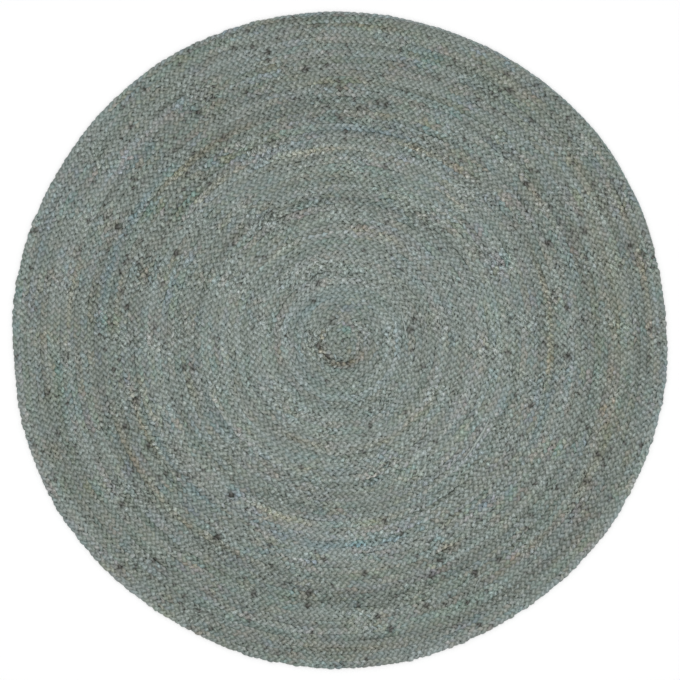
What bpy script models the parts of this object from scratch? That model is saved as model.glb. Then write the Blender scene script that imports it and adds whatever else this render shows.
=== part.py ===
"""Round rug of jute plait: one long flat plait, coiled edge to edge from the middle and sewn flat.

The rug is a single solid with a flat underside. Its top carries one rib, the back of the plait, which
runs from the middle to the rim as a spiral, with a groove between each turn and the next.
Metres, +Z up. The origin is under the middle of the rug, on the surface that it lies on.
"""

import bmesh
import bpy
import numpy as np
from mathutils.geometry import delaunay_2d_cdt

# The plait and its coil, seen from above. Turns are counted from the middle, and the coil grows clockwise.
RUG_RADIUS = 0.600
PLAIT_WIDTH = 0.0122
START_TURN = 0.5
END_TAPER_TURNS = 0.4  # the plait's end thins out over this share of the last turn
END_ANGLE = np.radians(-2.0)  # where the end lies, from +X towards +Y
LAST_TURN = RUG_RADIUS / PLAIT_WIDTH + (1.0 + END_TAPER_TURNS) / 2
END_SHARE = 0.12  # of the plait's full width, where the end stops
MIDDLE_SHIFT = (0.0043, -0.0033)  # the coil was started a little off the rug's middle
OVAL_STRETCH = 0.45  # the first turns lie round a short hairpin, so they are oval
OVAL_REACH = 0.020
OVAL_ANGLE = np.radians(20.0)

# Heights over the floor.
RIB_HEIGHT = 0.009
GROOVE_HEIGHT = 0.0062
RIM_HEIGHT = 0.0042  # where the rim stands out furthest
RIM_UNDERCUT = 0.0022  # how far the underside lies back from the rim

# The edge isn't a true circle: soft bulges and dips, as degrees, metres outward, degrees of half width.
EDGE_COLUMNS = ("direction", "outward", "spread")
EDGE_UNEVENNESS = (
    (38, 0.0026, 13),
    (76, -0.0028, 16),
    (124, 0.0022, 16),
    (150, -0.0022, 8),
    (184, -0.0030, 8),
    (211, 0.0030, 14),
    (240, -0.0018, 7),
    (262, 0.0024, 16),
    (303, -0.0022, 12),
    (326, 0.0014, 8),
    (350, 0.0018, 7),
    (9, -0.0022, 8),
)

# How finely the rib is drawn.
STEP_LENGTH = 0.040
LEAST_STEPS_PER_TURN = 20
COUNTING_SAMPLES = 20000  # places along the coil where the number of steps is added up
MERGE_DISTANCE = 1e-7

JUTE_COLOUR = (0.205, 0.240, 0.218, 1.0)  # sea green, linear
JUTE_ROUGHNESS = 0.92


def remove_everything():
    for item in list(bpy.data.objects):
        bpy.data.objects.remove(item, do_unlink=True)


def coil_turns():
    """Turn counts of the rib's points: a step's length apart, or closer on the small turns in the middle."""
    fine = np.linspace(START_TURN, LAST_TURN - END_SHARE * END_TAPER_TURNS, COUNTING_SAMPLES)
    per_turn = np.hypot(2 * np.pi * PLAIT_WIDTH * fine / STEP_LENGTH, LEAST_STEPS_PER_TURN)
    counted = np.concatenate(([0.0], np.cumsum(per_turn[1:] * np.diff(fine))))
    steps = int(round(counted[-1]))
    return np.interp(np.linspace(0.0, counted[-1], steps + 1), counted, fine)


def plait_share(turns):
    """The plait's width as a share of its full width: 1, and down to 0 along its tapered end."""
    return np.clip((LAST_TURN - turns) / END_TAPER_TURNS, 0.0, 1.0)


def uneven_edge(angle):
    """How far the edge stands out in each direction: the sum of the soft bulges and dips."""
    out = np.zeros_like(angle)
    for row in EDGE_UNEVENNESS:
        bump = dict(zip(EDGE_COLUMNS, row))
        away = np.degrees(angle) - bump["direction"]
        away = (away + 180.0) % 360.0 - 180.0
        out += bump["outward"] * np.exp(-((away / bump["spread"]) ** 2))
    return out


def place(turns, radius):
    """Points of the coil as x, y: clockwise by turns, at a radius, oval in the middle, uneven at the edge."""
    angle = END_ANGLE + 2 * np.pi * (LAST_TURN - turns)
    outward = radius / RUG_RADIUS
    radius = radius + uneven_edge(angle) * outward**2
    along = np.cos(angle - OVAL_ANGLE) * radius * (1.0 + OVAL_STRETCH * np.exp(-radius / OVAL_REACH))
    across = np.sin(angle - OVAL_ANGLE) * radius
    x = along * np.cos(OVAL_ANGLE) - across * np.sin(OVAL_ANGLE) + MIDDLE_SHIFT[0] * (1.0 - outward)
    y = along * np.sin(OVAL_ANGLE) + across * np.cos(OVAL_ANGLE) + MIDDLE_SHIFT[1] * (1.0 - outward)
    return np.column_stack((x, y))


def rib_line(turns):
    """The plait's back as x, y, z: half its width out from the turn before, and lower where it thins out."""
    share = plait_share(turns)
    height = RIM_HEIGHT + (RIB_HEIGHT - RIM_HEIGHT) * np.sqrt(share)
    return np.column_stack((place(turns, PLAIT_WIDTH * (turns - 1.0 + share / 2)), height))


def groove_line(turns):
    """The plait's outer side as x, y, z: a groove where the next turn lies against it, and else the rim."""
    height = RIM_HEIGHT + (GROOVE_HEIGHT - RIM_HEIGHT) * plait_share(turns + 1.0)
    return np.column_stack((place(turns, PLAIT_WIDTH * (turns - 1.0 + plait_share(turns))), height))


def chain(first, count):
    """Edges from each point to the next, for count points in a row."""
    start = np.arange(first, first + count - 1)
    return np.column_stack((start, start + 1))


def rug_points():
    """Points of the top, the edges along its rib and its groove, and the closed loop of points at the rim."""
    turns = coil_turns()
    rib = rib_line(turns)
    groove = groove_line(turns)
    past_the_end = turns[-1] - 1.0 + (turns[-1] - turns[-2]) / 2
    rim = len(rib) + np.flatnonzero(turns > past_the_end)
    closing = [(rim[-1], rim[0])]
    edges = np.vstack((chain(0, len(rib)), chain(len(rib), len(groove)), closing))
    points = np.vstack((rib, groove))
    points[:, :2] -= (points[rim, :2].min(axis=0) + points[rim, :2].max(axis=0)) / 2
    return points, edges, rim


def inset(loop, distance):
    """A loop of points moved towards its middle by a distance."""
    outward = loop - loop.mean(axis=0)
    return loop - distance * outward / np.linalg.norm(outward, axis=1)[:, None]


def rug_mesh():
    """The top between rib and groove lines, a rim that turns under, and one flat face on the floor."""
    points, edges, rim = rug_points()
    top = delaunay_2d_cdt(points[:, :2].tolist(), edges.tolist(), [], 1, MERGE_DISTANCE)[2]
    under = np.column_stack((inset(points[rim, :2], RIM_UNDERCUT), np.zeros(len(rim))))
    lower = np.arange(len(rim)) + len(points)
    sides = np.column_stack((np.roll(rim, 1), rim, lower, np.roll(lower, 1)))
    mesh = bpy.data.meshes.new("rug")
    mesh.from_pydata(np.vstack((points, under)).tolist(), [], top + sides.tolist() + [lower.tolist()])
    return mesh


def face_outwards(mesh):
    work = bmesh.new()
    work.from_mesh(mesh)
    bmesh.ops.recalc_face_normals(work, faces=work.faces)
    work.to_mesh(mesh)
    work.free()


def jute_material():
    jute = bpy.data.materials.new("sea_green_jute")
    jute.use_nodes = True
    shader = jute.node_tree.nodes["Principled BSDF"]
    shader.inputs["Base Color"].default_value = JUTE_COLOUR
    shader.inputs["Roughness"].default_value = JUTE_ROUGHNESS
    shader.inputs["Metallic"].default_value = 0.0
    return jute


def build_rug():
    collection = bpy.data.collections.new("round_jute_rug")
    bpy.context.scene.collection.children.link(collection)
    mesh = rug_mesh()
    face_outwards(mesh)
    mesh.materials.append(jute_material())
    rug = bpy.data.objects.new("rug", mesh)
    collection.objects.link(rug)


remove_everything()
build_rug()
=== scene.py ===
"""Looks of the round jute rug: every strand of the plait, its dye, shade and bark flecks, on a pale floor.

The rug is one flat plait of three strands, coiled clockwise from the middle and sewn edge to edge. Each
strand is a tube swept along its own way through the plait, and carries its dye and flecks along its length.
Two loose fibres lie on it, and a thin disc closes it from below.
Metres, +Z up, in the frame of the solid "rug". Directions are degrees from +X towards +Y.
"""

import bpy
import numpy as np
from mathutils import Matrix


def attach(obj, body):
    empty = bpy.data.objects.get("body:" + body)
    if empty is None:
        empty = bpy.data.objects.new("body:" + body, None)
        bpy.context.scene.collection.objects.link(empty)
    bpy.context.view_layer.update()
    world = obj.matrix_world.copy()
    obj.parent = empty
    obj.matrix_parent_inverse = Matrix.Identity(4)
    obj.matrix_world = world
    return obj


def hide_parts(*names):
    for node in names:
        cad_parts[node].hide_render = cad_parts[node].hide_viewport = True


# ---- The coil, as the solid has it -------------------------------------------------------------------

RUG_RADIUS = 0.600
PLAIT_WIDTH = 0.0122
END_TAPER_TURNS = 0.4  # the plait's end thins out over this share of the last turn
END_ANGLE = np.radians(-2.0)  # where the end lies
LAST_TURN = RUG_RADIUS / PLAIT_WIDTH + (1.0 + END_TAPER_TURNS) / 2
END_SHARE = 0.12  # of the plait's full width, where the end stops
MIDDLE_SHIFT = (0.0043, -0.0033)  # the coil was started a little off the rug's middle
OVAL_STRETCH = 0.45  # the first turns lie round a short hairpin, so they are oval
OVAL_REACH = 0.020
OVAL_ANGLE = np.radians(20.0)

EDGE_COLUMNS = ("direction", "outward", "spread")
EDGE_UNEVENNESS = (
    (38, 0.0026, 13),
    (76, -0.0028, 16),
    (124, 0.0022, 16),
    (150, -0.0022, 8),
    (184, -0.0030, 8),
    (211, 0.0030, 14),
    (240, -0.0018, 7),
    (262, 0.0024, 16),
    (303, -0.0022, 12),
    (326, 0.0014, 8),
    (350, 0.0018, 7),
    (9, -0.0022, 8),
)

# ---- The plait --------------------------------------------------------------------------------------

STRANDS = 3
FIRST_TURN = 0.72
START_TAPER_TURNS = 0.5  # the first stitches are narrower, where the plait was begun
START_SHARE = 0.6
WIDTH_TAPER = 0.7  # powers of the plait's share by which its strands get narrower and lower at its end
HEIGHT_TAPER = 0.5
# One stitch to the next along a turn: distance from the middle, length.
STITCH_LENGTHS = (
    (0.00, 0.0119),
    (0.16, 0.0120),
    (0.22, 0.0123),
    (0.27, 0.0128),
    (0.34, 0.0119),
    (0.47, 0.0116),
    (0.60, 0.0115),
)
STITCH_UNEVENNESS = 0.17
STITCH_WAVE = 0.04
SIDEWAYS = 0.0046  # how far a strand swings out from the plait's centre line
TURN_BACK = 0.35  # how much longer it lies along the plait's sides than a plain sine would
UP_AND_DOWN = 0.0021  # how far it rises and sinks
CENTRE_HEIGHT = 0.0045
STRAND_WIDTH = 0.0069
STRAND_HEIGHT = 0.0047
SAMPLES_PER_LAY = 10  # a lay is a strand's whole way over and back
CREST_LEAD = 0.16  # radians by which its rise comes before its swing out
CREST_SHARPNESS = 2.7  # over 1, the strand is level where it crosses and rises late
CREST_SWELL = 0.14  # how much wider it is on top than where it crosses, as a share
DRAWN_IN = 0.0027  # the strands stand out past the coil's own lines, so these are drawn in at the rim
RING_ANGLES = np.radians((-8.0, 40.0, 90.0, 140.0, 188.0, 270.0))  # closer together on the upper side

# The coil was laid by hand: soft waves round each turn, which shift slowly from one turn to the next.
COIL_WAVES = (3, 5, 8, 12, 17, 23)  # how many go round a turn
COIL_WAVE_HEIGHT = 0.0005
COIL_WAVE_SLANT = 40.0  # radians by which a wave moves on with each metre outward
DRIFT_START_TURNS = 4.0  # the waves set in over these turns
DRIFT_END_POWER = 4  # and fade out towards the rim by this power of the distance
# Hand work is uneven: size of each departure, and the length of one wave of it, in metres.
PLAIT_WANDER = (0.0006, 0.050)
STRAND_WANDER = (0.0014, 0.009)
LIFT_NOISE = (0.50, 0.009)  # as a share of a strand's rise
GIRTH_NOISE = (0.28, 0.007)  # as a share of its girth
MOST_LIFT = 1.25  # no stitch rises further than this share of the usual
FLOOR_GAP = 0.0001  # where a strand would sink into the floor, it is pressed flat this far above it
TWIST_LENGTH = 0.020  # a strand's own twist, once round in this length
FIBRE_OFFSET = 17.0  # sets the fibres of one strand apart from those of the next

# Two flat fibres that came loose and lie on the plait: start, bend and end as x, y, and width.
LOOSE_FIBRES = (
    ((0.225, -0.219), (0.260, -0.175), (0.274, -0.138), 0.0046),
    ((0.110, 0.058), (0.117, 0.030), (0.123, -0.002), 0.0030),
)
LOOSE_HEIGHT = 0.0098
LOOSE_THICKNESS = 0.0005
LOOSE_SAMPLES = 40
LOOSE_TIP = 0.02  # how blunt their points are
LOOSE_DYE = {"warmth": 0.0, "redness": 0.0, "shade": 0.20, "bark": 0.0, "coarse": 1.3}

# The plait's lower side, a disc of inner fibre dark with painted shade, seen only in gaps between the
# strands:
# how far it lies in from the outline, and how high.
UNDERSIDE_PROFILE = ((0.0100, 0.0022), (0.0090, 0.0016), (0.0090, 0.0010), (0.0100, 0.0004))

# How finely the shapes are drawn.
COUNTING_SAMPLES = 60000  # places along the coil where the stitches are counted
RIM_SAMPLES = 721
UNDERSIDE_STEP = 6  # the underside takes one in so many of the rim's points

# Distance from the middle, how coarse and uneven the yarn is there as a share of the usual.
COARSENESS = (
    (0.000, 0.42),
    (0.024, 0.48),
    (0.034, 1.25),
    (0.060, 1.15),
    (0.110, 1.02),
    (0.180, 1.04),
    (0.340, 1.10),
    (0.420, 1.08),
    (0.480, 0.96),
    (0.600, 0.88),
)
# Patches over the rug where the yarn is coarser or finer, and more or less mottled with dye.
COARSE_PATCHES = 0.24
MOTTLED_PATCHES = 0.40
LEAST_COARSENESS = 0.2
PATCH_WAVES = 28
PATCH_WAVE_LENGTHS = (0.045, 0.140)

# ---- The dye ----------------------------------------------------------------------------------------

# Runs of dye and shade along the plait: wave length in metres, amount.
SHADE_RUNS = ((0.110, 0.09), (0.400, 0.14))
SIDE_SHADE_RUNS = ((0.110, 0.13), (0.400, 0.15))  # lighter on one side of the plait than on the other
WARMTH_RUNS = ((0.030, 0.72), (0.120, 0.40), (0.450, 0.18))
REDNESS_RUNS = ((0.030, 0.46), (0.120, 0.50), (0.350, 0.40))
# The same for each strand by itself.
STRAND_SHADE_RUNS = ((0.004, 0.23), (0.200, 0.04))
STRAND_WARMTH_RUNS = ((0.014, 0.85),)
STRAND_REDNESS_RUNS = ((0.012, 0.76),)
CREST_PAINTED_HIGHLIGHT = 0.26  # painted highlight: a strand is painted lighter on top, where the light falls on its crest
CREST_HIGHLIGHT_MEAN = 0.19
ARC_COARSENESS = 0.20  # how much coarser the yarn is in a warm arc of amount 1
# Distance from the middle, how strongly the strands differ in dye there as a share of the usual.
MOTTLING = (
    (0.00, 1.00),
    (0.03, 1.00),
    (0.05, 0.72),
    (0.17, 0.70),
    (0.24, 0.92),
    (0.36, 1.02),
    (0.42, 1.12),
    (0.50, 1.00),
    (0.60, 1.00),
)

# Lighter and darker rings from the middle to the rim: distance from the middle, how much lighter than the
# mean.
RING_SHADES = (
    (0.00, 0.06),
    (0.02, -0.03),
    (0.04, -0.06),
    (0.05, -0.01),
    (0.06, 0.08),
    (0.09, 0.12),
    (0.11, 0.03),
    (0.13, 0.09),
    (0.17, 0.11),
    (0.20, 0.09),
    (0.23, 0.08),
    (0.26, 0.03),
    (0.30, 0.05),
    (0.35, 0.03),
    (0.40, -0.04),
    (0.57, -0.04),
    (0.60, 0.01),
)

ARC_COLUMNS = ("start", "end", "radius", "spread", "amount")
ARC_FADE = 12.0  # degrees over which an arc starts and ends
# Long arcs that stand out from the rest.
WARM_ARCS = (
    (117, 143, 0.426, 0.0055, 3.0),
    (118, 134, 0.364, 0.005, 2.4),
    (86, 108, 0.350, 0.005, 2.4),
    (150, 161, 0.338, 0.004, 2.8),
    (84, 98, 0.473, 0.005, 2.4),
    (74, 84, 0.422, 0.005, 1.8),
    (166, 182, 0.499, 0.005, 2.2),
    (116, 130, 0.195, 0.005, 1.8),
    (61, 74, 0.379, 0.005, 3.2),
    (54, 60, 0.384, 0.005, 2.6),
    (46, 54, 0.330, 0.005, 2.8),
    (58, 86, 0.208, 0.0055, 2.6),
    (32, 43, 0.446, 0.006, 3.0),
    (-12, 24, 0.386, 0.005, 3.0),
    (-20, 26, 0.510, 0.017, 1.6),
    (28, 42, 0.540, 0.012, 1.6),
    (54, 68, 0.560, 0.010, 1.5),
    (158, 176, 0.412, 0.005, 1.8),
    (190, 214, 0.395, 0.0055, 3.0),
    (200, 234, 0.437, 0.0055, 2.4),
    (190, 202, 0.287, 0.005, 1.8),
    (238, 250, 0.434, 0.006, 2.2),
    (244, 259, 0.339, 0.005, 3.2),
    (238, 264, 0.196, 0.005, 2.1),
    (250, 260, 0.243, 0.005, 2.2),
    (284, 293, 0.241, 0.005, 2.2),
    (275, 289, 0.338, 0.005, 3.0),
    (291, 300, 0.427, 0.005, 2.4),
    (304, 319, 0.515, 0.006, 1.8),
    (262, 283, 0.566, 0.006, 1.6),
    (270, 282, 0.429, 0.005, 1.8),
    (280, 332, 0.200, 0.005, 1.5),
    (324, 344, 0.520, 0.010, 1.7),
    (0, 30, 0.568, 0.006, 1.5),
    (78, 92, 0.578, 0.005, 2.2),
    (150, 184, 0.033, 0.004, 3.2),
    (186, 236, 0.039, 0.004, 3.4),
    (250, 304, 0.044, 0.004, 3.6),
    (304, 336, 0.049, 0.004, 2.4),
    (300, 326, 0.025, 0.004, 2.8),
    (136, 172, 0.441, 0.006, -2.2),
    (202, 236, 0.381, 0.005, -2.4),
    (236, 262, 0.370, 0.005, -1.4),
    (256, 292, 0.377, 0.006, -2.0),
    (68, 92, 0.386, 0.006, -2.2),
    (56, 64, 0.372, 0.005, -1.6),
    (336, 350, 0.396, 0.005, -2.0),
    (60, 250, 0.078, 0.018, -0.9),
    (34, 78, 0.023, 0.008, -2.2),
    (0, 360, 0.604, 0.006, -1.5),
)
RED_ARCS = (
    (40, 75, 0.216, 0.008, 1.0),
    (120, 150, 0.520, 0.012, 1.0),
    (40, 82, 0.033, 0.003, 4.0),
    (34, 78, 0.023, 0.008, -2.2),
    (306, 334, 0.049, 0.004, 0.8),
    (290, 302, 0.535, 0.012, -1.4),
    (180, 192, 0.525, 0.010, -1.2),
)
SHADE_ARCS = (
    (184, 236, 0.039, 0.004, -0.34),
    (236, 310, 0.043, 0.005, -0.42),
    (310, 350, 0.045, 0.007, -0.20),
    (34, 74, 0.023, 0.007, 0.06),
    (95, 172, 0.272, 0.010, -0.09),
    (65, 125, 0.280, 0.006, -0.08),
    (235, 300, 0.288, 0.006, -0.07),
    (140, 215, 0.252, 0.007, -0.12),
    (215, 300, 0.262, 0.006, -0.09),
    (238, 292, 0.215, 0.005, -0.09),
    (160, 176, 0.402, 0.005, -0.12),
    (250, 290, 0.322, 0.006, -0.08),
    (250, 290, 0.336, 0.006, 0.11),
    (255, 300, 0.353, 0.006, 0.10),
    (258, 275, 0.492, 0.006, 0.12),
    (88, 142, 0.368, 0.008, 0.10),
    (70, 100, 0.410, 0.009, -0.09),
    (-15, 30, 0.426, 0.005, 0.09),
    (-18, 38, 0.450, 0.008, -0.20),
    (24, 42, 0.424, 0.006, -0.12),
    (-5, 20, 0.552, 0.007, -0.10),
    (194, 238, 0.400, 0.007, -0.12),
    (162, 202, 0.345, 0.008, 0.09),
    (150, 190, 0.308, 0.006, 0.08),
    (-52, -2, 0.300, 0.012, 0.08),
    (48, 62, 0.530, 0.014, -0.10),
    (245, 275, 0.575, 0.012, -0.07),
)

# Where each turn is lighter on its outer side than on its inner one, which makes clear rings.
SIDE_ARCS = (
    (296, 334, 0.300, 0.040, 0.18),
    (278, 334, 0.375, 0.045, 0.26),
    (298, 332, 0.550, 0.030, 0.16),
    (92, 150, 0.190, 0.040, 0.16),
    (122, 150, 0.375, 0.040, 0.14),
    (240, 300, 0.195, 0.040, 0.16),
    (0, 30, 0.285, 0.040, 0.16),
)

PATCH_COLUMNS = ("direction", "radius", "length", "strength")
# The largest bits of bark and undyed tow.
BARK_PATCHES = (
    (195, 0.039, 0.007, 1.0),
    (219, 0.041, 0.006, 1.0),
    (231, 0.037, 0.006, 0.9),
    (258, 0.042, 0.006, 0.8),
    (272, 0.043, 0.008, 0.9),
    (288, 0.044, 0.006, 0.9),
    (116, 0.037, 0.007, 0.8),
    (123, 0.085, 0.007, 0.9),
    (111, 0.112, 0.009, 1.0),
    (8, 0.132, 0.012, 0.7),
    (16, 0.140, 0.010, 0.6),
    (191, 0.275, 0.008, 0.9),
    (190, 0.291, 0.008, 0.9),
    (152, 0.339, 0.010, 1.0),
    (284, 0.340, 0.009, 0.9),
    (235, 0.346, 0.009, 0.9),
    (341, 0.370, 0.008, 0.9),
    (196, 0.390, 0.010, 0.9),
    (171, 0.394, 0.008, 0.8),
    (209, 0.401, 0.010, 0.9),
    (90, 0.405, 0.009, 1.0),
    (163, 0.419, 0.009, 0.9),
    (356, 0.419, 0.010, 1.0),
    (8, 0.420, 0.008, 0.7),
    (25, 0.421, 0.011, 1.0),
    (202, 0.425, 0.010, 1.0),
    (238, 0.426, 0.011, 1.0),
    (120, 0.428, 0.009, 0.8),
    (276, 0.429, 0.009, 0.9),
    (79, 0.438, 0.009, 1.0),
    (81, 0.439, 0.008, 1.0),
    (294, 0.442, 0.009, 0.9),
    (40, 0.444, 0.010, 0.9),
    (153, 0.457, 0.009, 0.9),
    (291, 0.464, 0.009, 0.9),
    (263, 0.468, 0.010, 1.0),
    (24, 0.489, 0.009, 0.8),
    (122, 0.490, 0.012, 0.7),
    (263, 0.491, 0.009, 1.0),
    (251, 0.493, 0.009, 1.0),
    (300, 0.494, 0.011, 1.0),
    (306, 0.496, 0.010, 0.9),
    (97, 0.500, 0.009, 0.9),
    (217, 0.500, 0.009, 0.8),
    (288, 0.512, 0.009, 0.9),
    (193, 0.513, 0.008, 0.8),
    (336, 0.517, 0.009, 0.9),
    (330, 0.518, 0.009, 0.7),
    (296, 0.533, 0.009, 0.9),
    (280, 0.537, 0.009, 1.0),
    (104, 0.545, 0.009, 1.0),
    (56, 0.552, 0.010, 0.8),
    (18, 0.558, 0.009, 1.0),
    (110, 0.570, 0.008, 0.8),
    (226, 0.578, 0.010, 0.8),
    (296, 0.580, 0.009, 0.9),
    (128, 0.585, 0.009, 0.8),
)
PATCH_STRENGTH = 2.0  # over 1, a patch has a plain dark middle
# Small flecks of bark, strewn along the plait, and fewer where the yarn is from another lot.
FLECK_COUNT = 880
YARN_CHANGES = 0.37
FLECKS_KEPT_INSIDE = 0.30
FLECK_STRENGTH = (0.4, 2.8)
FLECK_SIZE = 0.0025

# Colours, linear: the dyed yarn, and what warmth and redness add to it as shares of it.
DYED_YARN = (0.1825, 0.2150, 0.1920)
# The inner fibres under the strands: the yarn painted darker, as painted shade for the hollows between the
# strands.
INNER_YARN_PAINTED_SHADE = (0.095, 0.105, 0.090)
WARM_SHIFT = (0.061, 0.004, -0.050)
RED_SHIFT = (0.050, -0.018, 0.022)
PALE_SHIFT = (0.02, 0.0, 0.14)  # where less dye took, the yarn is lighter and bluer
BARK = (0.032, 0.032, 0.025)

# ---- Materials, floor, camera and light --------------------------------------------------------------

# What the dye group is given besides the dye itself.
DYE_MASKS = ("Warmth", "Redness", "Shade", "Bark", "Grain", "Contrast", "Depth")
# A yarn's look: how close its fibres are round and along it, how much they differ in shade, how far they
# stand out, and between which heights over the floor a painted shade darkens it down to its darkest.
LOOK_COLUMNS = ("around", "along", "contrast", "relief", "low", "high", "darkest")
PLAITED_LOOK = (1.3, 320.0, 3.8, 0.0002, 0.0043, 0.0088, 0.88)
INNER_LOOK = (300.0, 300.0, 0.8, 0.0004, 0.0, 0.002, 0.8)
FIBRE_STRETCH = (6.0, 6.0, 0.3)  # fibres against tufts: this much closer round the strand, and longer
TUFT_DETAIL = 2.0
FIBRE_DETAIL = 3.0
FIBRE_RELIEF = 0.6  # against the tufts' relief
TUFT_SHARE = 0.5  # of the grain, and fibres make up the rest
NOISE_MEAN = 0.5  # what a noise texture gives on the whole
ROUGHNESS = 0.58
ROUGHNESS_BY_GRAIN = -0.25
SPECULAR = 0.65
# Sockets of a mix node that only their number tells apart: its two colours, and the colour that it gives.
MIX_FIRST, MIX_SECOND = 6, 7
MIX_RESULT = 2

FLOOR_COLOUR = (0.92, 0.92, 0.92)
FLOOR_ROUGHNESS = 0.9
FLOOR_REACH = 30.0
LENS = 85.0
SENSOR_WIDTH = 36.0
PICTURE_WIDTH = 1.242  # what the picture shows of the floor, in metres
WORLD_LIGHT = 0.62
SOFTBOX_SIZE = 2.0
SOFTBOX_POWER = 60.0
SOFTBOX_HEIGHT = 3.2

SEED = 20


# ---- Noise and curves -------------------------------------------------------------------------------


def smooth_noise(rng, along, wave):
    """Noise from -1 to 1 along a line: random heights one wave apart, joined by half waves of a cosine."""
    knots = rng.uniform(-1.0, 1.0, int(np.ceil(along[-1] / wave)) + 2)
    counted = along / wave
    first = np.floor(counted).astype(int)
    ease = (1.0 - np.cos(np.pi * (counted - first))) / 2
    return knots[first] * (1.0 - ease) + knots[first + 1] * ease


def runs_of(rng, along, rows):
    """Sum of smooth noises: one for each row of wave length and amount."""
    return sum(amount * smooth_noise(rng, along, wave) for wave, amount in rows)


def wander(rng, along, size_and_wave):
    """A departure of hand work: smooth noise of a size and wave length."""
    size, wave = size_and_wave
    return size * smooth_noise(rng, along, wave)


def patches(rng, points, amount, least):
    """A factor over the rug's plane: 1 plus an amount of noise, and never under a least value.

    The noise has a spread of 1. It is a sum of plane waves of any direction, length and start.
    """
    total = np.zeros(len(points))
    for _ in range(PATCH_WAVES):
        direction = rng.uniform(0.0, 2 * np.pi)
        wave = rng.uniform(*PATCH_WAVE_LENGTHS)
        forward = points @ (np.cos(direction), np.sin(direction))
        total += np.cos(2 * np.pi * forward / wave + rng.uniform(0.0, 2 * np.pi))
    return np.maximum(1.0 + amount * (total / np.sqrt(PATCH_WAVES / 2)), least)


def from_table(rows, where):
    """The value at a place, on straight lines between the rows of a table of places and values."""
    places, values = np.array(rows).T
    return np.interp(where, places, values)


def degrees_from(middle, direction):
    """How far round a direction lies from another, from -180 to 180 degrees."""
    return (direction - middle + 180.0) % 360.0 - 180.0


# ---- The coil ---------------------------------------------------------------------------------------


def uneven_edge(angle):
    """How far the edge stands out in each direction: a sum of bells, one for each soft bulge or dip."""
    out = np.zeros_like(angle)
    for row in EDGE_UNEVENNESS:
        bump = dict(zip(EDGE_COLUMNS, row))
        away = degrees_from(bump["direction"], np.degrees(angle))
        out += bump["outward"] * np.exp(-((away / bump["spread"]) ** 2))
    return out


def angle_of(turns):
    """The direction in which a place on the coil lies: it falls by a full circle with each turn."""
    return END_ANGLE + 2 * np.pi * (LAST_TURN - turns)


def place(turns, radius):
    """Points of the coil as x, y: clockwise by turns, at a radius, oval in the middle, uneven at the edge."""
    angle = angle_of(turns)
    outward = radius / RUG_RADIUS
    radius = radius + uneven_edge(angle) * outward**2
    stretch = 1.0 + OVAL_STRETCH * np.exp(-np.abs(radius) / OVAL_REACH)
    along = np.cos(angle - OVAL_ANGLE) * radius * stretch
    across = np.sin(angle - OVAL_ANGLE) * radius
    x = along * np.cos(OVAL_ANGLE) - across * np.sin(OVAL_ANGLE) + MIDDLE_SHIFT[0] * (1.0 - outward)
    y = along * np.sin(OVAL_ANGLE) + across * np.cos(OVAL_ANGLE) + MIDDLE_SHIFT[1] * (1.0 - outward)
    return np.column_stack((x, y))


def plait_share(turns):
    """The plait's width as a share of its full width: 1, and down to 0 along its tapered end."""
    return np.clip((LAST_TURN - turns) / END_TAPER_TURNS, 0.0, 1.0)


def start_share(turns):
    """The same at its beginning: from START_SHARE up to 1 over START_TAPER_TURNS."""
    return np.clip(START_SHARE + (1.0 - START_SHARE) * (turns - FIRST_TURN) / START_TAPER_TURNS, 0.0, 1.0)


def centre_radius(turns):
    """Distance of the plait's centre line from the middle: half its width out from the turn before."""
    return PLAIT_WIDTH * (turns - 1.0 + plait_share(turns) / 2)


def coil_drift(rng, turns, radius):
    """How far hand laying moved the coil outward: a sum of waves round the turns, none at the rim."""
    total = np.zeros_like(turns)
    for waves in COIL_WAVES:
        slant = rng.uniform(-COIL_WAVE_SLANT, COIL_WAVE_SLANT)
        total += np.cos(waves * angle_of(turns) + slant * radius + rng.uniform(0, 2 * np.pi))
    start = np.clip(radius / PLAIT_WIDTH / DRIFT_START_TURNS, 0.0, 1.0)
    return COIL_WAVE_HEIGHT * total * start * (1.0 - (radius / RUG_RADIUS) ** DRIFT_END_POWER)


def rim_line():
    """The rug's outline as x, y: the outer side of the plait's last turn."""
    turns = np.linspace(LAST_TURN - 1.0, LAST_TURN, RIM_SAMPLES)[1:]
    return place(turns, PLAIT_WIDTH * (turns - 1.0 + plait_share(turns)))


def rug_middle():
    """The middle of the rug's outline, which lies over the frame's origin."""
    rim = rim_line()
    return (rim.min(axis=0) + rim.max(axis=0)) / 2


# ---- The plait's strands ----------------------------------------------------------------------------


def plait_samples(rng):
    """Turn count, distance along the plait and weaving phase, at even steps of the phase.

    The phase grows by a full circle in each lay, which is STRANDS stitches long.
    """
    turns = np.linspace(FIRST_TURN, LAST_TURN - END_SHARE * END_TAPER_TURNS, COUNTING_SAMPLES)
    radius = centre_radius(turns)
    steps = np.linalg.norm(np.diff(place(turns, radius), axis=0), axis=1)
    along = np.concatenate(([0.0], np.cumsum(steps)))
    stitch = from_table(STITCH_LENGTHS, radius)
    stitch = stitch * (1.0 + STITCH_UNEVENNESS * smooth_noise(rng, along, STITCH_WAVE))
    rate = 2 * np.pi / (STRANDS * stitch)
    phase = np.concatenate(([0.0], np.cumsum(rate[1:] * np.diff(along))))
    even = np.arange(0.0, phase[-1], 2 * np.pi / SAMPLES_PER_LAY)
    return np.interp(even, phase, turns), np.interp(even, phase, along), even


def lift_of(phase):
    """How high a strand is, from -1 to 1: the sine of twice its phase, raised to CREST_SHARPNESS.

    So it is on top on its way out to a side and underneath on its way back.
    """
    wave = np.sin(2 * phase + CREST_LEAD)
    return np.sign(wave) * np.abs(wave) ** CREST_SHARPNESS


def swing_of(phase):
    """How far out a strand is, from -1 to 1: s + b s - b s^3, with s the phase's sine and b TURN_BACK."""
    sine = np.sin(phase)
    return sine * (1.0 + TURN_BACK) - TURN_BACK * sine**3


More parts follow.
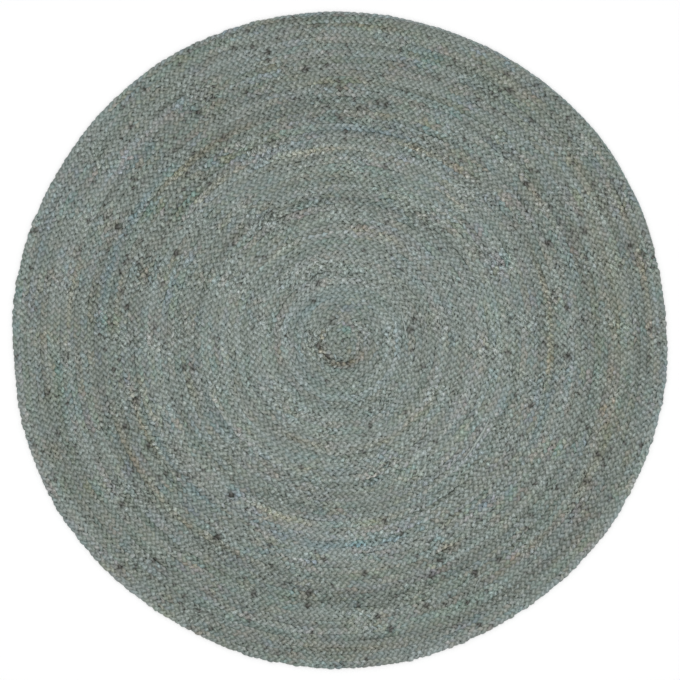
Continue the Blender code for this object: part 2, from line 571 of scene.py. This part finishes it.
def strand_line(rng, turns, along, phase, plait_wander, coarse):
    """Middle line of a strand as x, y, z, from its swing and its lift."""
    share = plait_share(turns) * start_share(turns)
    sideways = share * (SIDEWAYS * swing_of(phase) + coarse * wander(rng, along, STRAND_WANDER))
    lift = lift_of(phase) * np.minimum(1.0 + coarse * wander(rng, along, LIFT_NOISE), MOST_LIFT)
    height = CENTRE_HEIGHT + UP_AND_DOWN * np.sqrt(share) * lift
    radius = (centre_radius(turns) + sideways + plait_wander) * (1.0 - DRAWN_IN / RUG_RADIUS)
    return np.column_stack((place(turns, radius), height))


def strand_rings(rng, turns, along, phase, line, coarse):
    """Rings of points round a strand's middle line: ellipses square to it, thicker and thinner by noise."""
    way = np.gradient(line, axis=0)
    way /= np.linalg.norm(way, axis=1)[:, None]
    side = np.cross((0.0, 0.0, 1.0), way)
    side /= np.linalg.norm(side, axis=1)[:, None]
    up = np.cross(way, side)
    share = plait_share(turns)
    girth = 1.0 + coarse * wander(rng, along, GIRTH_NOISE)
    half_width = STRAND_WIDTH / 2 * share**WIDTH_TAPER * girth * (1.0 + CREST_SWELL * lift_of(phase))
    half_height = STRAND_HEIGHT / 2 * share**HEIGHT_TAPER * (1.0 + girth) / 2
    rings = (
        line[:, None, :]
        + side[:, None, :] * (half_width[:, None] * np.cos(RING_ANGLES))[:, :, None]
        + up[:, None, :] * (half_height[:, None] * np.sin(RING_ANGLES))[:, :, None]
    )
    rings[:, :, 2] = np.maximum(rings[:, :, 2], FLOOR_GAP)
    return rings


def fibre_directions(along, start):
    """Where each point lies round and along its strand, as a vector that turns with the strand's twist."""
    around = RING_ANGLES[None, :] + (2 * np.pi * along / TWIST_LENGTH)[:, None] + start
    length = np.broadcast_to(along[:, None], around.shape)
    return np.stack((np.cos(around), np.sin(around), length + start), axis=2)


# ---- Dye, shade and flecks along the strands ---------------------------------------------------------


def polar(points):
    """Direction in degrees and distance of points from the rug's middle."""
    return np.degrees(np.arctan2(points[:, 1], points[:, 0])), np.hypot(points[:, 0], points[:, 1])


def arcs_at(direction, radius, rows):
    """Sum of soft-ended arcs: each amount times a window of directions times a bell across the radius."""
    total = np.zeros_like(radius)
    for row in rows:
        arc = dict(zip(ARC_COLUMNS, row))
        away = np.abs(degrees_from((arc["start"] + arc["end"]) / 2, direction))
        window = np.clip((arc["end"] - arc["start"]) / 2 + ARC_FADE / 2 - away, 0.0, ARC_FADE) / ARC_FADE
        bell = np.exp(-(((radius - arc["radius"]) / arc["spread"]) ** 2))
        total += arc["amount"] * window * bell
    return total


def bark_patches(direction, radius):
    """Bark by patch: each strength times a bell of its own length in both directions."""
    total = np.zeros_like(radius)
    for row in BARK_PATCHES:
        patch = dict(zip(PATCH_COLUMNS, row))
        away = np.radians(degrees_from(patch["direction"], direction))
        distance = np.hypot(away * radius, radius - patch["radius"])
        bell = np.exp(-((distance / (patch["length"] / 2)) ** 2))
        total = np.maximum(total, PATCH_STRENGTH * patch["strength"] * bell)
    return total


def strewn_flecks(rng, along, radius):
    """Where the flecks lie along and across the plait and how strong they are, in order of distance along."""
    where = np.sort(rng.uniform(0.0, along[-1], FLECK_COUNT))
    kept = rng.uniform(0.0, 1.0, FLECK_COUNT) < FLECKS_KEPT_INSIDE
    kept |= np.interp(where, along, radius) > YARN_CHANGES
    across = rng.uniform(-SIDEWAYS, SIDEWAYS, FLECK_COUNT)
    strength = rng.uniform(*FLECK_STRENGTH, FLECK_COUNT)
    return where[kept], across[kept], strength[kept]


def flecks_on(along, sideways, strewn):
    """Bark of the nearest fleck: its strength times a bell of its size along and across the plait."""
    where, across, strength = strewn
    between = (where[1:] + where[:-1]) / 2
    nearest = np.searchsorted(between, along)
    distance = np.hypot(along - where[nearest], sideways - across[nearest])
    return strength[nearest] * np.exp(-((distance / FLECK_SIZE) ** 2))


def plait_runs(rng, along, mottled):
    """What the strands of the plait share: runs of warmth, redness and shade, and shade by side."""
    return {
        "warmth": mottled * runs_of(rng, along, WARMTH_RUNS),
        "redness": mottled * runs_of(rng, along, REDNESS_RUNS),
        "shade": runs_of(rng, along, SHADE_RUNS),
        "side": runs_of(rng, along, SIDE_SHADE_RUNS),
    }


def strand_dye(rng, along, phase, where, shared, strewn, coarse, mottled):
    """One strand's dye: what the plait shares, what lies where it lies, its own runs and flecks, and a
    painted highlight on its crests.
    """
    direction, radius = where
    swing = swing_of(phase)
    bark = np.maximum(bark_patches(direction, radius), flecks_on(along, SIDEWAYS * swing, strewn))
    # Painted highlight: each strand is painted lighter where it rises to its crest and the light falls on it.
    painted_crest_highlight = CREST_PAINTED_HIGHLIGHT * (np.clip(lift_of(phase), 0.0, 1.0) ** 2 - CREST_HIGHLIGHT_MEAN)
    warm_arcs = arcs_at(direction, radius, WARM_ARCS)
    coarse = coarse * (1.0 + ARC_COARSENESS * np.maximum(warm_arcs, 0.0))
    # The strand's own random runs of shade, together with its painted crest highlight.
    own_shade_and_painted_highlight = coarse * (runs_of(rng, along, STRAND_SHADE_RUNS) + painted_crest_highlight)
    ring_shade = from_table(RING_SHADES, radius) + arcs_at(direction, radius, SHADE_ARCS)
    own_warmth = mottled * runs_of(rng, along, STRAND_WARMTH_RUNS)
    own_redness = mottled * runs_of(rng, along, STRAND_REDNESS_RUNS)
    side = shared["side"] + arcs_at(direction, radius, SIDE_ARCS)
    return {
        "warmth": shared["warmth"] + own_warmth + warm_arcs,
        "redness": shared["redness"] + own_redness + arcs_at(direction, radius, RED_ARCS),
        "shade": shared["shade"] + swing * side + own_shade_and_painted_highlight + ring_shade,
        "bark": np.minimum(bark, 1.0),
        "coarse": coarse,
    }


# ---- Meshes -----------------------------------------------------------------------------------------


def tube_mesh(name, rings):
    """A closed tube: four-sided faces between one ring of points and the next, and a cap at each end."""
    count, sides = rings.shape[:2]
    ring = np.arange(count - 1)[:, None] * sides
    j = np.arange(sides)[None, :]
    k = (j + 1) % sides
    quads = np.stack((ring + j, ring + k, ring + sides + k, ring + sides + j), axis=2).reshape(-1, 4)
    caps = np.concatenate((np.arange(sides)[::-1], (count - 1) * sides + np.arange(sides)))
    corners = np.concatenate((quads.ravel(), caps)).astype(np.int32)
    cap_starts = quads.size + np.array((0, sides))
    starts = np.concatenate((np.arange(len(quads)) * 4, cap_starts)).astype(np.int32)
    mesh = bpy.data.meshes.new(name)
    mesh.vertices.add(count * sides)
    mesh.vertices.foreach_set("co", rings.astype(np.float32).ravel())
    mesh.loops.add(len(corners))
    mesh.loops.foreach_set("vertex_index", corners)
    mesh.polygons.add(len(starts))
    mesh.polygons.foreach_set("loop_start", starts)
    mesh.update(calc_edges=True)
    mesh.validate()
    mesh.shade_smooth()
    return mesh


def store(mesh, name, kind, field, values):
    """Keep one value for each point of the mesh."""
    made = mesh.attributes.new(name, kind, "POINT")
    made.data.foreach_set(field, values.astype(np.float32).ravel())


def yarn_mesh(name, rings, fibre, dye):
    """A closed tube that keeps on its points the way of its fibres, and its dye by ring."""
    mesh = tube_mesh(name, rings)
    store(mesh, "fibre", "FLOAT_VECTOR", "vector", fibre)
    for key, values in dye.items():
        store(mesh, key, "FLOAT", "value", np.repeat(values, len(RING_ANGLES)))
    return mesh


def strand_halves(which, rings, along, dye):
    """A strand's inner and outer half as two meshes."""
    half = int(np.searchsorted(along, along[-1] / 2))
    fibre = fibre_directions(along, which * FIBRE_OFFSET)
    halves = {"inner": slice(0, half + 1), "outer": slice(half, len(along))}
    return [
        yarn_mesh(
            f"strand_{which + 1}_{part}", rings[cut], fibre[cut], {key: dye[key][cut] for key in dye}
        )
        for part, cut in halves.items()
    ]


def strand_meshes(rng, middle):
    """The three strands, which follow one another through the plait a third of a lay apart."""
    turns, along, phase = plait_samples(rng)
    centre = centre_radius(turns)
    points = place(turns, centre)
    coarse = from_table(COARSENESS, centre) * patches(rng, points, COARSE_PATCHES, LEAST_COARSENESS)
    mottled = from_table(MOTTLING, centre) * patches(rng, points, MOTTLED_PATCHES, 0.0)
    shared = plait_runs(rng, along, mottled)
    strewn = strewn_flecks(rng, along, centre)
    plait_wander = wander(rng, along, PLAIT_WANDER) + coil_drift(rng, turns, centre)
    meshes = []
    for which in range(STRANDS):
        own_phase = phase + 2 * np.pi * which / STRANDS
        line = strand_line(rng, turns, along, own_phase, plait_wander, coarse)
        line[:, :2] -= middle
        rings = strand_rings(rng, turns, along, own_phase, line, coarse)
        where = polar(place(turns, centre + SIDEWAYS * swing_of(own_phase)) - middle)
        dye = strand_dye(rng, along, own_phase, where, shared, strewn, coarse, mottled)
        meshes += strand_halves(which, rings, along, dye)
    return meshes


def loose_fibre_mesh(name, start, bend, end, width):
    """A flat fibre, pointed at both ends, along the curve (1-t)^2 start + 2 t (1-t) bend + t^2 end."""
    t = np.linspace(0.0, 1.0, LOOSE_SAMPLES)[:, None]
    line = (1.0 - t) ** 2 * np.array(start) + 2 * t * (1.0 - t) * np.array(bend) + t**2 * np.array(end)
    way = np.gradient(line, axis=0)
    length = np.linalg.norm(way, axis=1)
    side = np.column_stack((-way[:, 1], way[:, 0])) / length[:, None]
    thinned = np.sqrt(np.sin(np.pi * (LOOSE_TIP + (1.0 - 2 * LOOSE_TIP) * t)))
    across = width / 2 * thinned * np.cos(RING_ANGLES)
    height = LOOSE_HEIGHT + LOOSE_THICKNESS / 2 * thinned * np.sin(RING_ANGLES)
    flat = line[:, None, :] + side[:, None, :] * across[:, :, None]
    rings = np.concatenate((flat, height[:, :, None]), axis=2)
    dye = {key: np.full(LOOSE_SAMPLES, value) for key, value in LOOSE_DYE.items()}
    return yarn_mesh(name, rings, fibre_directions(np.cumsum(length), 0.0), dye)


def drawn_in(rim, inward, height):
    """An outline drawn in towards its middle by a distance, at a height."""
    length = np.linalg.norm(rim, axis=1)[:, None]
    return np.column_stack((rim * (1.0 - inward / length), np.full(len(rim), height)))


def underside_mesh(middle):
    """The plait's lower side as one thin closed disc: the outline, drawn in by each row of a profile.

    Four-sided faces lie between one loop and the next. A point closes the disc above and below.
    """
    rim = (rim_line() - middle)[::UNDERSIDE_STEP]
    count = len(rim)
    closing = [(0.0, 0.0, UNDERSIDE_PROFILE[row][1]) for row in (0, -1)]
    points = np.vstack([drawn_in(rim, *row) for row in UNDERSIDE_PROFILE] + closing)
    j = np.arange(count)
    k = (j + 1) % count
    last = (len(UNDERSIDE_PROFILE) - 1) * count
    faces = [
        np.column_stack((first + j, first + k, first + count + k, first + count + j))
        for first in range(0, last, count)
    ]
    faces.append(np.column_stack((np.full(count, len(points) - 2), k, j)))
    faces.append(np.column_stack((np.full(count, len(points) - 1), last + j, last + k)))
    mesh = bpy.data.meshes.new("underside")
    mesh.from_pydata(points.tolist(), [], [face for rows in faces for face in rows.tolist()])
    store(mesh, "coarse", "FLOAT", "value", np.ones(len(points)))
    return mesh


# ---- Materials --------------------------------------------------------------------------------------


def put(tree, kind, inputs=None, **settings):
    """A new node with its settings, and its inputs given as plain values or as sockets to link from."""
    node = tree.nodes.new(kind)
    for name, setting in settings.items():
        setattr(node, name, setting)
    for socket, value in (inputs or {}).items():
        if isinstance(value, bpy.types.NodeSocket):
            tree.links.new(value, node.inputs[socket])
        else:
            node.inputs[socket].default_value = value
    return node


def maths(tree, operation, *values, **settings):
    """The result of a maths node, for numbers or sockets."""
    return put(tree, "ShaderNodeMath", dict(enumerate(values)), operation=operation, **settings).outputs[0]


def vector_maths(tree, operation, *values):
    """The result of a vector maths node, for vectors or sockets."""
    return put(tree, "ShaderNodeVectorMath", dict(enumerate(values)), operation=operation).outputs[0]


def noise(tree, way, detail):
    """Noise along a vector that already has its scale."""
    return put(tree, "ShaderNodeTexNoise", {"Vector": way, "Scale": 1.0, "Detail": detail}).outputs["Fac"]


def kept_value(tree, name):
    """A value kept on the mesh's points."""
    return put(tree, "ShaderNodeAttribute", attribute_name=name).outputs["Fac"]


def new_group(name, inputs, outputs):
    """An empty node group, with its input and output nodes. Rows are a name and a kind of socket."""
    group = bpy.data.node_groups.new(name, "ShaderNodeTree")
    for label, kind in inputs:
        group.interface.new_socket(name=label, in_out="INPUT", socket_type=kind)
    for label, kind in outputs:
        group.interface.new_socket(name=label, in_out="OUTPUT", socket_type=kind)
    return group, group.nodes.new("NodeGroupInput"), group.nodes.new("NodeGroupOutput")


def jute_fibre_group():
    """Fibres that run along a strand: a noise stretched along it, coarse for tufts and fine for fibres."""
    group, given, result = new_group(
        "jute_fibre",
        (("Way", "NodeSocketVector"), ("Around", "NodeSocketFloat"), ("Along", "NodeSocketFloat")),
        (("Grain", "NodeSocketFloat"), ("Height", "NodeSocketFloat")),
    )
    around = given.outputs["Around"]
    scale = put(group, "ShaderNodeCombineXYZ", {"X": around, "Y": around, "Z": given.outputs["Along"]})
    spread = vector_maths(group, "MULTIPLY", given.outputs["Way"], scale.outputs[0])
    tufts = noise(group, spread, TUFT_DETAIL)
    fine = noise(group, vector_maths(group, "MULTIPLY", spread, FIBRE_STRETCH), FIBRE_DETAIL)
    height = maths(group, "MULTIPLY_ADD", fine, FIBRE_RELIEF, tufts)
    fibre_part = maths(group, "MULTIPLY", fine, 1.0 - TUFT_SHARE)
    grain = maths(group, "MULTIPLY_ADD", tufts, TUFT_SHARE, fibre_part)
    group.links.new(grain, result.inputs["Grain"])
    group.links.new(height, result.inputs["Height"])


def shifted(tree, colour, amount, shift):
    """A colour times one plus an amount of a shift."""
    factor = vector_maths(tree, "MULTIPLY_ADD", shift, amount, (1.0, 1.0, 1.0))
    return vector_maths(tree, "MULTIPLY", colour, factor)


def jute_dye_group():
    """Yarn colour: the dye, warmer or redder, times shade, grain and painted depth shade, and bark where
    there is any.
    """
    group, given, result = new_group(
        "jute_dye",
        (("Dye", "NodeSocketColor"), *((label, "NodeSocketFloat") for label in DYE_MASKS)),
        (("Colour", "NodeSocketColor"), ("Roughness", "NodeSocketFloat")),
    )
    mask = given.outputs
    warmed = shifted(group, mask["Dye"], mask["Warmth"], WARM_SHIFT)
    reddened = shifted(group, warmed, mask["Redness"], RED_SHIFT)
    dyed = shifted(group, reddened, mask["Shade"], PALE_SHIFT)
    centred = maths(group, "SUBTRACT", mask["Grain"], NOISE_MEAN)
    grained = maths(group, "MULTIPLY_ADD", centred, mask["Contrast"], 1.0)
    light = maths(group, "MULTIPLY", grained, maths(group, "ADD", mask["Shade"], 1.0))
    scale = maths(group, "MULTIPLY", light, mask["Depth"])
    shaded = put(group, "ShaderNodeVectorMath", {0: dyed, "Scale": scale}, operation="SCALE").outputs[0]
    colours = {"Factor": mask["Bark"], MIX_FIRST: shaded, MIX_SECOND: (*BARK, 1.0)}
    barked = put(group, "ShaderNodeMix", colours, data_type="RGBA").outputs[MIX_RESULT]
    rough = maths(group, "MULTIPLY_ADD", mask["Grain"], ROUGHNESS_BY_GRAIN, ROUGHNESS, use_clamp=True)
    group.links.new(barked, result.inputs["Colour"])
    group.links.new(rough, result.inputs["Roughness"])


def strand_way(tree):
    """The way round and along a strand, kept on its points."""
    return put(tree, "ShaderNodeAttribute", attribute_name="fibre").outputs["Vector"]


def flat_way(tree):
    """Plain places in metres, for the underside."""
    return put(tree, "ShaderNodeTexCoord").outputs["Object"]


def painted_depth_shade(tree, look):
    """Painted shade by height over the floor: 1 at the top, and darkest down between the strands, where shade
    falls.
    """
    height = put(tree, "ShaderNodeSeparateXYZ", {0: flat_way(tree)}).outputs["Z"]
    limits = {"From Min": look["low"], "From Max": look["high"], "To Min": look["darkest"], "To Max": 1.0}
    return put(tree, "ShaderNodeMapRange", {"Value": height, **limits}).outputs["Result"]


def dyed_yarn(tree, dye, grain, look):
    """The dye group's node, fed with the values kept on the mesh and with the painted shade by height."""
    masks = {label: kept_value(tree, label.lower()) for label in ("Warmth", "Redness", "Shade", "Bark")}
    contrast = maths(tree, "MULTIPLY", kept_value(tree, "coarse"), look["contrast"])
    given = {"Dye": (*dye, 1.0), "Grain": grain, "Contrast": contrast, "Depth": painted_depth_shade(tree, look)}
    return put(tree, "ShaderNodeGroup", {**given, **masks}, node_tree=bpy.data.node_groups["jute_dye"])


def jute_material(name, dye, way, numbers):
    """Dyed jute: a rough shader coloured by its dye, grain and painted depth shade, with the fibres' relief.
    """
    look = dict(zip(LOOK_COLUMNS, numbers))
    made = bpy.data.materials.new(name)
    made.use_nodes = True
    tree = made.node_tree
    given = {"Way": way(tree), "Around": look["around"], "Along": look["along"]}
    fibre = put(tree, "ShaderNodeGroup", given, node_tree=bpy.data.node_groups["jute_fibre"])
    dyed = dyed_yarn(tree, dye, fibre.outputs["Grain"], look)
    relief = put(tree, "ShaderNodeBump", {"Height": fibre.outputs["Height"], "Distance": look["relief"]})
    shader = tree.nodes["Principled BSDF"]
    tree.links.new(dyed.outputs["Colour"], shader.inputs["Base Color"])
    tree.links.new(dyed.outputs["Roughness"], shader.inputs["Roughness"])
    tree.links.new(relief.outputs["Normal"], shader.inputs["Normal"])
    shader.inputs["Specular IOR Level"].default_value = SPECULAR
    return made


def floor_material():
    """A pale, matte floor."""
    made = bpy.data.materials.new("pale_floor")
    made.use_nodes = True
    shader = made.node_tree.nodes["Principled BSDF"]
    shader.inputs["Base Color"].default_value = (*FLOOR_COLOUR, 1.0)
    shader.inputs["Roughness"].default_value = FLOOR_ROUGHNESS
    return made


# ---- Pieces, floor, camera and light ----------------------------------------------------------------


def add_piece(mesh, material):
    """Put a mesh into the scene as a piece of the rug, in place of the solid."""
    piece = bpy.data.objects.new(mesh.name, mesh)
    bpy.context.scene.collection.objects.link(piece)
    mesh.materials.append(material)
    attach(piece, "root")
    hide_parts("rug")
    return piece


def build_rug(rng):
    """The rug's pieces: the plait's lower side, and the strands and loose fibres that lie on it."""
    middle = rug_middle()
    jute_fibre_group()
    jute_dye_group()
    plaited = jute_material("plaited_jute", DYED_YARN, strand_way, PLAITED_LOOK)
    inner = jute_material("inner_jute_painted_shade", INNER_YARN_PAINTED_SHADE, flat_way, INNER_LOOK)
    upper = [add_piece(mesh, plaited) for mesh in strand_meshes(rng, middle)]
    for number, row in enumerate(LOOSE_FIBRES, 1):
        upper.append(add_piece(loose_fibre_mesh(f"loose_fibre_{number}", *row), plaited))
    return add_piece(underside_mesh(middle), inner), upper


def build_floor():
    """A level square that reaches past every picture."""
    mesh = bpy.data.meshes.new("floor")
    corners = [(FLOOR_REACH * x, FLOOR_REACH * y, 0.0) for x, y in ((-1, -1), (1, -1), (1, 1), (-1, 1))]
    mesh.from_pydata(corners, [], [(0, 1, 2, 3)])
    floor = bpy.data.objects.new("floor", mesh)
    bpy.context.scene.collection.objects.link(floor)
    mesh.materials.append(floor_material())


def build_camera():
    """Straight above the rug's middle, as far up as gives the picture its width on the floor."""
    lens = bpy.data.cameras.new("camera")
    lens.lens = LENS
    lens.sensor_width = SENSOR_WIDTH
    camera = bpy.data.objects.new("camera", lens)
    camera.location = (0.0, 0.0, PICTURE_WIDTH * LENS / SENSOR_WIDTH)
    bpy.context.scene.collection.objects.link(camera)
    bpy.context.scene.camera = camera


def build_lights():
    """A wide softbox above the camera, and an even pale surround."""
    world = bpy.data.worlds.new("studio")
    world.use_nodes = True
    background = world.node_tree.nodes["Background"]
    background.inputs["Color"].default_value = (1.0, 1.0, 1.0, 1.0)
    background.inputs["Strength"].default_value = WORLD_LIGHT
    bpy.context.scene.world = world
    softbox = bpy.data.lights.new("softbox", "AREA")
    softbox.shape = "SQUARE"
    softbox.size = SOFTBOX_SIZE
    softbox.energy = SOFTBOX_POWER
    lamp = bpy.data.objects.new("softbox", softbox)
    lamp.location = (0.0, 0.0, SOFTBOX_HEIGHT)
    bpy.context.scene.collection.objects.link(lamp)


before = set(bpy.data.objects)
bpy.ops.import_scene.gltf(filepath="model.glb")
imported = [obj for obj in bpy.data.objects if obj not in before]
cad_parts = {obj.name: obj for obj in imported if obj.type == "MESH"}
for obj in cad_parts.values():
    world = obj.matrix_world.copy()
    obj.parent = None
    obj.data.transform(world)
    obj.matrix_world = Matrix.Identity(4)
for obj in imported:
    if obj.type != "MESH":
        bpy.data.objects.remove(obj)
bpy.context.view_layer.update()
underside, upper = build_rug(np.random.default_rng(SEED))
build_floor()
build_camera()
build_lights()
bpy.context.scene.view_settings.view_transform = "Standard"
